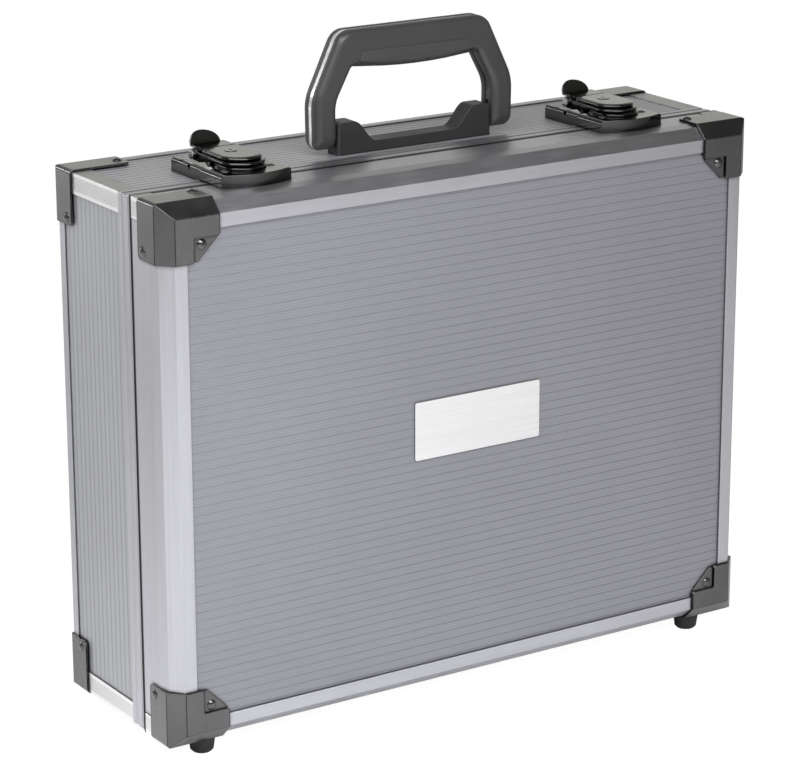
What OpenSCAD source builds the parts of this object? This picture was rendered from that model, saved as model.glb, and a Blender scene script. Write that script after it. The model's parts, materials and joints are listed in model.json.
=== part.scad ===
/* [Case] */
// Width of the closed case
case_w = 460; // [400:1:560]
// Height of the shell, without its feet
case_h = 358; // [300:1:420]
// Depth of the closed case, lid and body together
case_d = 140; // [132:1:200]
// Depth of the lid, from its front face to the middle of the seam
lid_d = 40.5; // [36:0.5:50]
// Gap between the lid and the body at the seam
seam_gap = 1.3; // [0.6:0.1:1.4]
// Play left between pieces that are fitted together
fit = 0.05; // [0.02:0.01:0.1]

/* [Lid frame] */
// Wall of the lid's mitred profile
lid_wall = 2; // [1.6:0.1:2.4]
// Width of the slanted facet along the front edge
chamfer = 8.3; // [6:0.1:10]
// Width of the flat band round the front panel
band = 8.8; // [6:0.1:12]
// Depth of the front panel behind the band
lip = 1.2; // [0.8:0.1:1.6]
// Depth of the groove that holds the front panel
groove = 4; // [3:0.1:5]
// Distance behind the front where the side wall starts to lean in
taper_start = 16.5; // [13:0.5:20]
// How far the side wall leans in before the facet
taper_in = 1; // [0.4:0.1:1.4]
// Thickness of the lid's front panel
lid_panel_t = 3; // [2:0.1:4]

/* [Body frame] */
// Thickness of the outer skin of the body's profiles
skin = 1; // [0.8:0.1:1.4]
// Thickness of the body's panels
panel_t = 4; // [3:0.1:5]
// Depth of the rim, from the seam back over the panels
rim_d = 16; // [14:0.1:20]
// Depth of the rim's web, where the panels stop
rim_web = 8; // [7:0.1:9.5]
// How far the tongue reaches into the lid
tongue = 3; // [2:0.1:4]
// Thickness of the tongue
tongue_t = 1.2; // [1:0.1:1.4]
// Space between the lid's wall and the tongue
tongue_clear = 1.2; // [1:0.1:1.6]
// Width of the rear profile's band on the sides
rear_side = 8; // [6:0.1:12]
// Width of the rear profile's band on the back
rear_band = 12; // [10:0.1:16]
// Length of the inner flanges behind a panel's edge
flange = 5; // [4:0.1:7]
// Leg of the angles along the body's long edges
angle_leg = 14; // [12:0.1:20]
// Thickness of the short angles at the lid's corners
lid_angle_t = 0.7; // [0.5:0.1:1]

/* [Flutes] */
// Distance from one flute to the next
flute_pitch = 5.93; // [4:0.01:12]
// Width of a flute at the surface
flute_w = 0.75; // [0.5:0.05:1.5]
// Depth of a flute
flute_depth = 0.15; // [0.1:0.05:0.7]

/* [Corner caps] */
// How far the caps stand proud of the shell
cap_proud = 1.5; // [1:0.1:1.8]
// Radius of the caps' rounded edges
cap_round = 3; // [2:0.1:4]
// Length of a lid cap's level leg
lid_cap_x = 40; // [38:0.5:50]
// Length of a lid cap's upright leg
lid_cap_z = 37.5; // [36:0.5:50]
// Depth of a lid cap over the side wall
lid_cap_y = 29.5; // [26:0.5:32]
// Width of the caps' face on the front and the back
cap_face = 21.5; // [20:0.5:24]
// Cut across the outer corners of the legs on the face
cap_ease = 1.2; // [0.6:0.1:2]
// Reach of the sunk gusset between a cap's legs, from the corner
gusset = 61.3; // [58:0.1:64]
// How far the gusset stands above the band
gusset_proud = 0.3; // [0.1:0.1:0.6]
// Length of a rear cap's level leg
rear_cap_x = 42.5; // [38:0.5:50]
// Length of a rear cap's upright leg
rear_cap_z = 35.5; // [35:0.5:50]
// Depth of a rear cap over the sides
rear_cap_y = 21; // [19:0.5:26]

/* [Rivets] */
// Diameter of the caps' dome rivets
rivet_d = 7; // [5:0.5:8]
// Height of the domes
rivet_h = 1.6; // [1:0.1:2]
// Diameter of the rivets' shanks
shank_d = 3.2; // [2.4:0.1:4]

/* [Feet] */
// Height of the shell above the ground
foot_h = 13; // [11:0.5:20]
// Diameter of a foot where it meets its cap
foot_d = 18; // [15:0.5:19]
// Diameter of a foot at the ground
foot_base_d = 14; // [10:0.5:16]
// Distance of the feet from the case's sides
foot_x = 30; // [28:0.5:31]
// Distance of the lid's feet from the front
lid_foot_y = 19; // [15:0.5:20]

/* [Name plate] */
// Width of the bare plate on the lid
plate_w = 100; // [60:1:160]
// Height of the bare plate
plate_h = 40; // [25:1:80]
// Thickness of the bare plate
plate_t = 0.8; // [0.5:0.1:1]
// How far the plate's middle lies to the right of the lid's
plate_x = 5; // [-60:1:60]
// How far the plate's middle lies above the lid's
plate_z = 3; // [-60:1:60]

/* [Hinges] */
// Distance of each hinge's middle from the side of the case
hinge_inset = 100; // [80:1:140]
// Length of a hinge
hinge_len = 60; // [40:1:80]
// Radius of the hinge barrel
barrel_r = 3; // [2.6:0.1:3.2]
// Radius of the hinge pin
hinge_pin_r = 1.25; // [1:0.05:1.5]
// Thickness of the hinge leaves
leaf_t = 1.2; // [1:0.1:1.6]
// Width of a hinge leaf, from the seam
leaf_w = 20; // [16:0.5:23]
// Gap between neighbouring knuckles
knuckle_gap = 0.3; // [0.2:0.05:0.6]

/* [Handle] */
// Distance of the handle's pivot behind the seam
handle_y = 34.9; // [28:0.5:60]
// Height of the handle's pivot above the shell
handle_pivot_h = 12; // [10.5:0.5:16]
// Thickness of the handle, front to back
handle_t = 18; // [14:0.5:20]
// Half the overall width of the handle
handle_half = 78; // [74:0.5:85]
// Width of a leg at its foot
leg_w = 16.5; // [12:0.5:17]
// Height of the handle's top above the shell
handle_top = 81; // [78:0.5:95]
// Height of the grip's underside at its ends
grip_low = 57; // [52:0.5:60]
// How far the grip pad swells down at its middle
grip_swell = 3; // [1:0.5:6]
// Height of the grip pad
pad_h = 13; // [8:0.5:15]
// How far the grip pad stands proud of the handle's faces
pad_proud = 0.8; // [0.3:0.1:1.5]
// Thickness of the light strip between the handle's shells
core_t = 4.6; // [1.6:0.1:6]
// Depth of the groove that the strip lies in
core_inset = 0.6; // [0.4:0.1:2]
// Radius of the handle's pivot pins
handle_pin_r = 2.5; // [1.5:0.1:3]
// Clearance between the base's ends and the handle's legs
base_gap = 0.7; // [0.5:0.1:2]
// Thickness of the handle's base, front to back
base_t = 14; // [12:0.5:18]
// Height of the base between its humps
base_low = 6; // [4:0.5:8]
// Height of the humps that carry the pins
hump_h = 20.5; // [17:0.5:26]
// Length of each hump's level top
hump_w = 13; // [11:0.5:15]
// Length of the slope up to each hump
hump_slope = 17; // [12:0.5:20]
// Height of the bend between a leg and its shoulder
shoulder_h = 37; // [33:0.5:40]
// Radius of that bend
shoulder_r = 30; // [26:0.5:30]
// Distance of the crown's bend in from the leg's outer side
crown_in = 21; // [18:0.5:24]
// Radius of the crown's bend
crown_r = 12; // [8:0.5:14]
// Distance of the mouth's upper corner in from the leg's inner side
mouth_in = 12; // [9:0.5:14]
// Radius of the mouth's upper corners
mouth_r = 4; // [3:0.5:6]

/* [Latches] */
// Distance of each latch's middle from the side of the case
latch_inset = 82.5; // [70:0.5:120]
// Half the width of the catch plate
catch_half = 25.5; // [22:0.5:30]
// How far the catch plate reaches back over the seam
catch_back = 12.9; // [8:0.1:13]
// How far the catch plate's corners lie in front of the seam
catch_front = 14.5; // [12:0.5:18]
// How far the curved front edge swells past the corners
catch_bow = 6.5; // [3:0.5:8]
// Height of the catch plate's top
catch_h = 8; // [7:0.1:8]
// Thickness of the latch's pressed sheets
sheet_t = 1.5; // [1:0.1:1.8]
// Height of the catch plate's raised nose
boss_h = 1.6; // [0.8:0.1:1.6]
// Radius of the catch plate's rounded sides
catch_soft = 3; // [1.5:0.1:3.5]
// Clearance of the catch plate over the body
catch_lift = 0.6; // [0.5:0.1:1]
// Back end of the latch's base, from the seam
latch_back = 51; // [48:0.5:56]
// Height of the base's rolled flanges
flange_h = 8; // [6:0.5:9]
// Width of the base's rolled flanges
flange_w = 4.6; // [3.5:0.1:5.5]
// Distance of the lever's pivot behind the seam
lever_y = 28; // [26:0.5:29]
// Height of the lever's pivot above the shell
lever_h = 6; // [5.5:0.1:7]
// Radius of the lever's pivot pin
lever_pin_r = 1.6; // [1.2:0.1:1.8]
// Distance of the hasp's bolt behind the seam
bolt_y = 39.5; // [38.5:0.5:40.5]
// Height of the hasp's bolt above the shell
bolt_h = 10.8; // [10.2:0.1:11]
// Radius of the hasp's bolt
bolt_r = 1.5; // [1.2:0.1:1.6]
// Half the width of the lever's strip
strip_half = 12.5; // [11:0.1:12.7]
// Half the width of the hasp
hasp_half = 14.6; // [14.4:0.1:16]
// Distance of the hasp's nose in front of the seam
hasp_nose = 9.5; // [6:0.5:11]
// Depth of the hasp's round nose
nose_r = 13; // [11:0.5:14]
// Lowest edge of the hasp over the catch plate
hasp_h = 10.3; // [10.2:0.1:10.6]
// Thickness of the key plate
key_plate_t = 2.9; // [2:0.1:3.2]
// Half the width of the key plate
key_plate_half = 13.2; // [12.8:0.1:13.6]
// Distance of the key cylinder behind the seam
key_y = 17.5; // [10:0.5:19]
// Radius of the key cylinder
key_r = 4; // [3:0.1:4.5]
// Height of the half-moon finger tab
tab_h = 8.5; // [6:0.5:12]
// Lean of the finger tab
tab_lean = 22; // [10:1:30]
// Running clearance round pins and bolts
run = 0.05; // [0.03:0.01:0.08]

/* [Hidden] */
$fn = 48;
eps = 0.01;
z_bot = foot_h;
z_top = foot_h + case_h;
z_mid = foot_h + case_h / 2;
y_front = -case_d / 2;
y_back = case_d / 2;
y_seam = y_front + lid_d;
lid_rear = lid_d - seam_gap / 2;
body_front = y_seam + seam_gap / 2;
groove_u = chamfer + band - groove;
lid_lip_v = lip + lid_panel_t + 2 * fit;
inner_lip_t = 1.2;
channel = skin + panel_t + 2 * fit;
flange_t = 1;
panel_y0 = body_front + rim_web + fit;
panel_y1 = y_back - channel - flange_t - fit;
tongue_u = lid_wall + tongue_clear;
small = 0.4;
hinge_x = case_w / 2 - hinge_inset;
latch_x = case_w / 2 - latch_inset;

// Places children, drawn with X inward and Z along the edge, on one side of the shell:
// 0 left, 1 right, 2 top, 3 bottom
module side(k) {
  if (k == 0)
    translate([-case_w / 2, 0, z_mid]) children();
  else if (k == 1)
    translate([case_w / 2, 0, z_mid]) mirror([1, 0, 0]) children();
  else if (k == 2)
    translate([0, 0, z_top]) rotate([0, 90, 0]) children();
  else
    translate([0, 0, z_bot]) rotate([0, -90, 0]) children();
}

function side_len(k) = k < 2 ? case_h : case_w;

// Places children, drawn at the upper left corner of the front or the back, at one corner:
// 0 upper left, 1 upper right, 2 lower left, 3 lower right
module corner(k) {
  translate([0, 0, z_mid]) mirror([k % 2, 0, 0]) mirror([0, 0, floor(k / 2)])
    translate([-case_w / 2, 0, case_h / 2]) children();
}

// A profile cut at 45 degrees at both ends, its section given as inward depth and Y
module mitred(section, k) {
  half = side_len(k) / 2 - fit;
  deep = 30;
  intersection() {
    linear_extrude(side_len(k) + 4, center = true) polygon(section);
    rotate([90, 0, 0]) linear_extrude(2 * case_d, center = true)
      polygon([[-1, -half - 1], [-1, half + 1], [deep, half - deep], [deep, deep - half]]);
  }
}

// A sheet with V flutes in its outer face, which lies at Y = 0; the flutes run along Z
module fluted_sheet(across, along, t) {
  count = floor((across - 2 * flute_w) / flute_pitch);
  flutes = [
    for (i = [0:count - 1])
      let (x = (i - (count - 1) / 2) * flute_pitch)
        each [[x - flute_w / 2, 0], [x, flute_depth], [x + flute_w / 2, 0]]
  ];
  outline = concat([[-across / 2, 0]], flutes, [[across / 2, 0], [across / 2, t], [-across / 2, t]]);
  linear_extrude(along, center = true) polygon(outline);
}

// A square with its corner at the origin rounded
module eased_square(w, h, r) {
  translate([r, 0]) square([w - r, h]);
  translate([0, r]) square([w, h - r]);
  translate([r, r]) circle(r);
}

// A dome head at the origin that bulges along +Z, with its shank below
module rivet(d, h, shank) {
  ball = (h * h + d * d / 4) / (2 * h);
  intersection() {
    translate([0, 0, h - ball]) sphere(ball);
    cylinder(d = d + 1, h = h + 1);
  }
  translate([0, 0, -shank]) cylinder(d = shank_d, h = shank + eps);
}

// Section of the lid's profile: outer wall, lean, facet, band, panel groove and inner wall
function lid_section() = [
  for (p = [
    [0, lid_rear], [0, taper_start], [taper_in, chamfer], [chamfer, 0], [chamfer + band, 0],
    [chamfer + band, lip], [groove_u, lip], [groove_u, lid_lip_v], [chamfer + band, lid_lip_v],
    [chamfer + band, lid_lip_v + inner_lip_t], [chamfer - 2, lid_lip_v + inner_lip_t],
    [lid_wall + taper_in, chamfer + 1.4], [lid_wall, taper_start], [lid_wall, lid_rear]
  ]) [p[0], p[1] + y_front]
];

module lid_rail(k) {
  color("silver") side(k) mitred(lid_section(), k);
}

module lid_panel() {
  edge = groove_u + fit + 0.1;
  color("gray") translate([0, y_front + lip + fit, z_mid]) rotate([0, -90, 0])
    fluted_sheet(case_h - 2 * edge, case_w - 2 * edge, lid_panel_t);
}

module name_plate() {
  r = 1.5;
  color("white") translate([plate_x, y_front + lip + fit, z_mid + plate_z])
    rotate([90, 0, 0]) linear_extrude(plate_t) {
    square([plate_w - 2 * r, plate_h], center = true);
    square([plate_w, plate_h - 2 * r], center = true);
    for (x = [-1, 1], y = [-1, 1])
      translate([x * (plate_w / 2 - r), y * (plate_h / 2 - r)]) circle(r);
  }
}

// Section of the body's rim: skin over the panels, web, inner flange and the tongue at the seam
function rim_section(with_tongue) = let (
  s = body_front,
  wall = skin + 0.6,
  back = s + rim_web,
  inner = channel + flange_t
) concat(
  [
    [0, s + rim_d - seam_gap / 2], [0, s + 11], [small, s + 10.4], [small, s + 8.4], [0, s + 7.8],
    [0, s + 3], [small, s + 2.6], [small, s + 2], [0, s + 1.6], [0, s]
  ],
  with_tongue ? [[tongue_u, s], [tongue_u, s - tongue], [tongue_u + tongue_t, s - tongue]] : [],
  with_tongue ? [[tongue_u + tongue_t, s]] : [],
  [
    [inner, s], [inner, s + 2], [wall, s + 2], [wall, back - 1.6], [inner, back - 1.6],
    [inner, back + flange], [channel, back + flange], [channel, back],
    [skin, back], [skin, s + rim_d - seam_gap / 2]
  ]
);

module rim(k) {
  color("silver") side(k) mitred(rim_section(k != 3), k);
}

// Section of the rear profile: two skins over the panels' edges, a web and two inner flanges
function rear_section() = let (
  inner = channel + flange_t
) [
  for (p = [
    [0, rear_side], [0, 1.2], [1.2, 0], [rear_band, 0], [rear_band, skin], [inner, skin],
    [inner, channel], [inner + flange, channel], [inner + flange, inner], [inner, inner],
    [inner, inner + flange], [channel, inner + flange], [channel, inner], [skin, inner], [skin, rear_side]
  ]) [p[0], y_back - p[1]]
];

module rear_rail(k) {
  color("silver") side(k) mitred(rear_section(), k);
}

module body_back_panel() {
  edge = channel + flange_t + fit;
  color("gray") translate([0, y_back - skin - fit, z_mid]) rotate([0, 0, 180]) rotate([0, -90, 0])
    fluted_sheet(case_h - 2 * edge, case_w - 2 * edge, panel_t);
}

module body_panel(k) {
  length = k < 2 ? case_h - 2 * skin - 2 * fit : case_w - 2 * channel;
  color("darkgray") side(k) translate([skin + fit, (panel_y0 + panel_y1) / 2, 0]) rotate([0, 0, -90])
    fluted_sheet(panel_y1 - panel_y0, length, panel_t);
}

// An angle along Y over one long edge of the shell, its outer corner at the edge
module edge_angle(t, leg, y0, y1, out) {
  translate([-out, y1, out]) rotate([90, 0, 0]) linear_extrude(y1 - y0) {
    translate([0, -leg]) square([t, leg]);
    translate([0, -t]) square([leg, t]);
  }
}

module body_edge_angles() {
  color("silver") for (k = [0:3])
    corner(k)
      edge_angle(skin, angle_leg, body_front + rim_d - seam_gap / 2 + fit, y_back - rear_side - fit, 0);
}

module lid_edge_angles() {
  color("gray") for (k = [0:3])
    corner(k)
      edge_angle(lid_angle_t, angle_leg, y_front + lid_cap_y + fit, y_front + lid_rear - fit, lid_angle_t);
}

// Corner caps, drawn at the shell's upper left corner: X and -Z inward, Y away from the face
cap_facet = chamfer + 1.3;
cap_reach = 60;
gusset_back = lip + fit;
lid_side_rivet = [lid_cap_y - 6.2, lid_cap_z - 5.8];
lid_top_rivet = [lid_cap_x - 4.7, lid_cap_y - 4.7];
rear_side_rivet = [14.5, rear_cap_z - 4.7];
rear_top_rivet = [rear_cap_x - 5, 12];
gusset_rivet = [27.2, 26];

// The faceted outer block that a lid cap is cut from, grown or not by its thickness
module faceted_block(grow, facet, lean_y, lean) {
  r = grow > 0 ? cap_round : 0.01;
  profile = [
    [-grow, cap_reach], [-grow, lean_y], [lean - grow, facet - grow], [facet - grow, -grow],
    [cap_reach, -grow], [cap_reach, cap_reach]
  ];
  intersection() {
    translate([0, 0, -cap_reach]) linear_extrude(cap_reach + grow) polygon(profile);
    translate([-grow, 0, 0]) rotate([90, 0, 90]) linear_extrude(cap_reach + grow)
      polygon([for (p = profile) [p[1], -p[0]]]);
    if (grow > 0)
      translate([0, cap_reach, 0]) rotate([90, 0, 0]) linear_extrude(cap_reach + grow)
        translate([-grow, grow]) mirror([0, 1]) eased_square(cap_reach, cap_reach, r);
  }
}

// The block with three rounded edges that a rear cap is cut from
module rounded_block(grow) {
  size = cap_reach + grow;
  intersection() {
    translate([0, 0, grow - size]) linear_extrude(size)
      translate([-grow, -grow]) eased_square(size, size, cap_round);
    translate([-grow, 0, 0]) rotate([90, 0, 90]) linear_extrude(size)
      translate([-grow, grow]) mirror([0, 1]) eased_square(size, size, cap_round);
    translate([0, cap_reach, 0]) rotate([90, 0, 0]) linear_extrude(size)
      translate([-grow, grow]) mirror([0, 1]) eased_square(size, size, cap_round);
  }
}

// The three legs of a cap: over the side, over the top or bottom, and round the face
module cap_legs(x, y, z) {
  p = cap_proud;
  deep = 4;
  c = cap_face;
  translate([-p, 0, 0]) rotate([90, 0, 90]) linear_extrude(deep + p)
    translate([y, -z]) mirror([1, 0]) eased_square(y + p, z + p, cap_round);
  translate([0, 0, -deep]) linear_extrude(deep + p)
    translate([x, y]) mirror([1, 0]) mirror([0, 1]) eased_square(x + p, y + p, cap_round);
  translate([0, chamfer + 1, 0]) rotate([90, 0, 0]) linear_extrude(chamfer + 1 + p) {
    polygon([[-p, p], [c, p], [c, cap_ease - z], [c - cap_ease, -z], [-p, -z]]);
    polygon([[-p, p], [x, p], [x, cap_ease - c], [x - cap_ease, -c], [-p, -c]]);
  }
}

// The sunk triangular web between a cap's legs
module cap_gusset(x, z, back) {
  a = x - cap_ease;
  b = z - cap_ease / 2;
  c = cap_face - 0.5;
  translate([0, back, 0]) rotate([90, 0, 0]) linear_extrude(back + gusset_proud)
    polygon([[c, -c], [a, -c], [a, a - gusset], [gusset - b, -b], [c, -b]]);
}

module lid_cap_shape(k) {
  far = chamfer + band;
  difference() {
    union() {
      intersection() {
        faceted_block(cap_proud, cap_facet, taper_start, 0);
        cap_legs(lid_cap_x, lid_cap_y, lid_cap_z);
      }
      cap_gusset(lid_cap_x, lid_cap_z, gusset_back);
    }
    difference() {
      faceted_block(0, chamfer, taper_start, taper_in);
      translate([far, -1, -far - cap_reach]) cube([cap_reach, gusset_back + 1, cap_reach]);
    }
    cap_rivet_places(k, lid_side_rivet, lid_top_rivet, gusset_back)
      translate([0, 0, -5]) cylinder(d = shank_d + 2 * fit, h = 10);
  }
}

module rear_cap_shape(k) {
  far = rear_band;
  back = skin + fit;
  difference() {
    union() {
      intersection() {
        rounded_block(cap_proud);
        cap_legs(rear_cap_x, rear_cap_y, rear_cap_z);
      }
      cap_gusset(rear_cap_x, rear_cap_z, back);
    }
    difference() {
      translate([0, 0, -cap_reach]) cube(cap_reach);
      translate([far, -1, -far - cap_reach]) cube([cap_reach, back + 1, cap_reach]);
    }
    cap_rivet_places(k, rear_side_rivet, rear_top_rivet, back)
      translate([0, 0, -5]) cylinder(d = shank_d + 2 * fit, h = 10);
  }
}

// Places children, drawn along +Z, at a cap's rivets; $shank is each one's length.
// A lower cap's level leg is held by its foot instead
module cap_rivet_places(k, at_side, at_top, back) {
  $shank = cap_proud;
  translate([-cap_proud, at_side[0], -at_side[1]]) rotate([0, -90, 0]) children();
  if (k < 2)
    translate([at_top[0], at_top[1], cap_proud]) children();
  translate([gusset_rivet[0], -gusset_proud, -gusset_rivet[1]]) rotate([90, 0, 0])
    gusset_place(back) children();
}

// Hands the gusset rivet its own shank length
module gusset_place(back) {
  $shank = back + gusset_proud;
  children();
}

module at_front(k) {
  corner(k) translate([0, y_front, 0]) children();
}

module at_back(k) {
  corner(k) translate([0, y_back, 0]) mirror([0, 1, 0]) children();
}

module lid_cap(k) {
  color("dimgray") at_front(k) lid_cap_shape(k);
}

module rear_cap(k) {
  color("dimgray") at_back(k) rear_cap_shape(k);
}

module lid_cap_rivets() {
  color("gray") for (k = [0:3])
    at_front(k) cap_rivet_places(k, lid_side_rivet, lid_top_rivet, gusset_back)
      rivet(rivet_d, rivet_h, $shank);
}

module rear_cap_rivets() {
  color("gray") for (k = [0:3])
    at_back(k) cap_rivet_places(k, rear_side_rivet, rear_top_rivet, skin + fit)
      rivet(rivet_d, rivet_h, $shank);
}

// A tapered rubber cup under a cap's level leg
module foot(x, y) {
  ease = 1.5;
  translate([x, y, 0]) rotate_extrude() polygon([
    [0, cap_proud], [foot_d / 2, cap_proud], [foot_d / 2, cap_proud + 1.2],
    [foot_base_d / 2 + ease / 2, foot_h - ease], [foot_base_d / 2 - ease / 2, foot_h],
    [2.5, foot_h], [2.5, foot_h - 2.5], [0, foot_h - 2.5]
  ]);
}

module lid_feet() {
  color("black") for (k = [2, 3]) at_front(k) foot(foot_x, lid_foot_y);
}

module body_feet() {
  color("black") for (k = [2, 3]) at_back(k) foot(foot_x, foot_d / 2 + 1);
}

// Hinges under the shell, drawn round their axis with the lid toward -Y
hinge_drop = barrel_r + 0.2;
knuckles = 5;
knuckle_len = (hinge_len - (knuckles - 1) * knuckle_gap) / knuckles;
leaf_gap = barrel_r + 0.4;

module at_hinges() {
  for (x = [-hinge_x, hinge_x])
    translate([x, y_seam, z_bot - hinge_drop]) children();
}

// One leaf with the knuckles counted from first in steps of two, reaching toward +Y
module leaf(first) {
  top = hinge_drop - fit;
  difference() {
    union() {
      translate([-hinge_len / 2, leaf_gap, top - leaf_t]) cube([hinge_len, leaf_w - leaf_gap, leaf_t]);
      for (i = [first:2:knuckles - 1])
        translate([i * (knuckle_len + knuckle_gap) - hinge_len / 2, 0, 0]) {
          rotate([0, 90, 0]) cylinder(r = barrel_r, h = knuckle_len);
          translate([0, 0, top - leaf_t]) cube([knuckle_len, leaf_gap + 1, leaf_t]);
        }
      for (x = [-hinge_len / 2 + 8:(hinge_len - 16) / 3:hinge_len / 2 - 7])
        translate([x, (leaf_gap + leaf_w) / 2 + 1, top - leaf_t]) mirror([0, 0, 1]) rivet(5, 1.2, 0.2);
    }
    translate([-hinge_len, 0, 0]) rotate([0, 90, 0]) cylinder(r = hinge_pin_r + run, h = 2 * hinge_len);
  }
}

module hinge_body_leaves() {
  color("dimgray") at_hinges() leaf(0);
}

module hinge_lid_leaves() {
  color("dimgray") at_hinges() mirror([0, 1, 0]) leaf(1);
}

module hinge_pins() {
  color("silver") at_hinges() translate([-hinge_len / 2 - 0.5, 0, 0]) rotate([0, 90, 0])
    cylinder(r = hinge_pin_r, h = hinge_len + 1);
}

// Handle, drawn with its origin on the shell's top below the pivots and Z as height
foot_low = handle_pivot_h - handle_t / 2;
grip_ease = 4.5;
foot_ease = 6;
pad_top = grip_low + pad_h - grip_swell;
leg_in = handle_half - leg_w;
leg_lean = 0.3;
pin_in = 12;
base_half = leg_in - base_gap;
mouth_half = leg_in - mouth_in;
crown_half = handle_half - crown_in;
mouth_bend_h = shoulder_h - 3;
mouth_bend_r = shoulder_r - 4;
pad_end_low = mouth_half - 2.5;
pad_end_top = pad_end_low - 6;

// Points of the arc that rounds the corner p between a and b
function rounded(a, p, b, r, n) = let (
  da = (a - p) / norm(a - p),
  db = (b - p) / norm(b - p),
  half = acos(da * db) / 2,
  mid = (da + db) / norm(da + db),
  c = p + mid * r / sin(half),
  a0 = p + da * r / tan(half) - c,
  side = sign(cross(da, db)),
  sweep = 180 - 2 * half
) [for (i = [0:n]) c + [
    a0[0] * cos(side * -sweep * i / n) - a0[1] * sin(side * -sweep * i / n),
    a0[0] * sin(side * -sweep * i / n) + a0[1] * cos(side * -sweep * i / n)
  ]];

// Pairs of outer and inner points up the right leg and along the grip to its middle
function foot_x_at(h) = let (rise = h - foot_low)
  rise < foot_ease ? handle_half - foot_ease + sqrt(foot_ease ^ 2 - (foot_ease - rise) ^ 2) : handle_half;
foot_heights = [for (a = [15:15:90]) handle_pivot_h - handle_t / 2 * cos(a)];
outer_path = concat(
  [for (h = foot_heights) [foot_x_at(h), h]],
  rounded([handle_half, 0], [handle_half + leg_lean, shoulder_h], [crown_half, handle_top], shoulder_r, 6),
  rounded([handle_half + leg_lean, shoulder_h], [crown_half, handle_top], [0, handle_top], crown_r, 6),
  [[0, handle_top]]
);
inner_path = concat(
  [for (h = foot_heights) [leg_in, h]],
  rounded([leg_in, 0], [leg_in + leg_lean, mouth_bend_h], [mouth_half, grip_low], mouth_bend_r, 6),
  rounded([leg_in + leg_lean, mouth_bend_h], [mouth_half, grip_low], [0, grip_low], mouth_r, 6),
  [[0, grip_low]]
);
half_count = len(outer_path);
function thick_at(i) = i < len(foot_heights)
  ? 2 * sqrt((handle_t / 2) ^ 2 - (handle_pivot_h - foot_heights[i]) ^ 2) : handle_t;

// One half section of the handle: rounded on the face and flat where it meets the strip
function shell_ring(i, s) = let (
  o = outer_path[i],
  n = inner_path[i],
  c = (o + n) / 2,
  half = norm(o - n) / 2,
  e = (o - n) / norm(o - n),
  t = thick_at(i) / 2,
  g = core_t / 2 + fit,
  r = min(grip_ease, half, t - g),
  loop = concat(
    [[half, g]],
    [for (a = [0:22.5:90]) [half - r + r * cos(a), t - r + r * sin(a)]],
    [for (a = [90:22.5:180]) [r - half + r * cos(a), t - r + r * sin(a)]],
    [[-half, g]]
  )
) [for (q = loop) let (p = c + e * q[0]) [s * p[0], q[1], p[1]]];

// The strip's section, sunk into the groove between the shells
function core_ring(i, s) = let (
  o = outer_path[i],
  n = inner_path[i],
  e = (o - n) / norm(o - n),
  a = o - e * core_inset,
  b = n + e * core_inset,
  t = min(core_t / 2, thick_at(i) / 2)
) [for (q = [[a, -t], [a, t], [b, t], [b, -t]]) [s * q[0][0], q[1], q[0][1]]];

// A closed skin over a row of rings that all have the same number of points
module loft(rings) {
  n = len(rings[0]);
  last = len(rings) - 1;
  polyhedron(
    points = [for (r = rings) each r],
    faces = concat(
      [for (i = [0:last - 1], j = [0:n - 1]) [i * n + j, (i + 1) * n + j, i * n + (j + 1) % n]],
      [for (i = [0:last - 1], j = [0:n - 1])
        [i * n + (j + 1) % n, (i + 1) * n + j, (i + 1) * n + (j + 1) % n]],
      [for (j = [1:n - 2]) [0, j, j + 1]],
      [for (j = [1:n - 2]) [last * n, last * n + j + 1, last * n + j]]
    )
  );
}

// Rings from the right foot over the grip to the left foot
function over(first, second) = concat(first, [for (i = [len(second) - 2:-1:0]) second[i]]);

module handle_bores() {
  for (s = [-1, 1])
    translate([s * (leg_in - 1), 0, handle_pivot_h]) rotate([0, s * 90, 0])
      cylinder(r = handle_pin_r + run, h = leg_w - 2.5);
}

// Room for the grip pad, as wide as its outline with some play
module pad_room() {
  translate([0, handle_t, 0]) rotate([90, 0, 0]) linear_extrude(2 * handle_t)
    polygon([
      [-pad_end_low - fit, grip_low - 5], [-pad_end_low - fit, grip_low],
      [-pad_end_top - fit, pad_top + fit],
      [pad_end_top + fit, pad_top + fit], [pad_end_low + fit, grip_low], [pad_end_low + fit, grip_low - 5]
    ]);
}

module at_handle() {
  translate([0, y_seam + handle_y, z_top]) children();
}

module handle_shell(side) {
  color("dimgray") at_handle() difference() {
    mirror([0, side < 0 ? 1 : 0, 0])
      loft(over(
        [for (i = [0:half_count - 1]) shell_ring(i, 1)],
        [for (i = [0:half_count - 1]) shell_ring(i, -1)]
      ));
    handle_bores();
    pad_room();
  }
}

module handle_core() {
  color("lightgray") at_handle() difference() {
    loft(over(
      [for (i = [0:half_count - 1]) core_ring(i, 1)],
      [for (i = [0:half_count - 1]) core_ring(i, -1)]
    ));
    handle_bores();
    pad_room();
  }
}

// Where the pad's slanted end lies at a height
function pad_end(h) = pad_end_low - (pad_end_low - pad_end_top) * (h - grip_low) / (pad_top - grip_low);

module handle_grip_pad() {
  t = handle_t / 2 + pad_proud;
  r = 5;
  color("#3c3c3c") at_handle() hull() {
    for (s = [-1, 1]) {
      translate([s * (pad_end_top - 0.4), 0, pad_top - 0.4]) cube([0.8, 2 * t - 2, 0.8], center = true);
      translate([s * (pad_end_low - 0.4), 0, grip_low - 0.2]) cube([0.8, 2 * (t - r), 0.4], center = true);
      translate([s * (pad_end(grip_low + 4.4) - 0.4), 0, grip_low + 4])
        cube([0.8, 2 * t, 0.8], center = true);
    }
    for (x = [-24:12:24], s = [-1, 1])
      translate([x, s * (t - r), grip_low - grip_swell * (1 - (x / pad_end_low) ^ 2) + r])
        rotate([0, 90, 0]) cylinder(r = r, h = 0.5, center = true, $fn = 32);
  }
}

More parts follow.
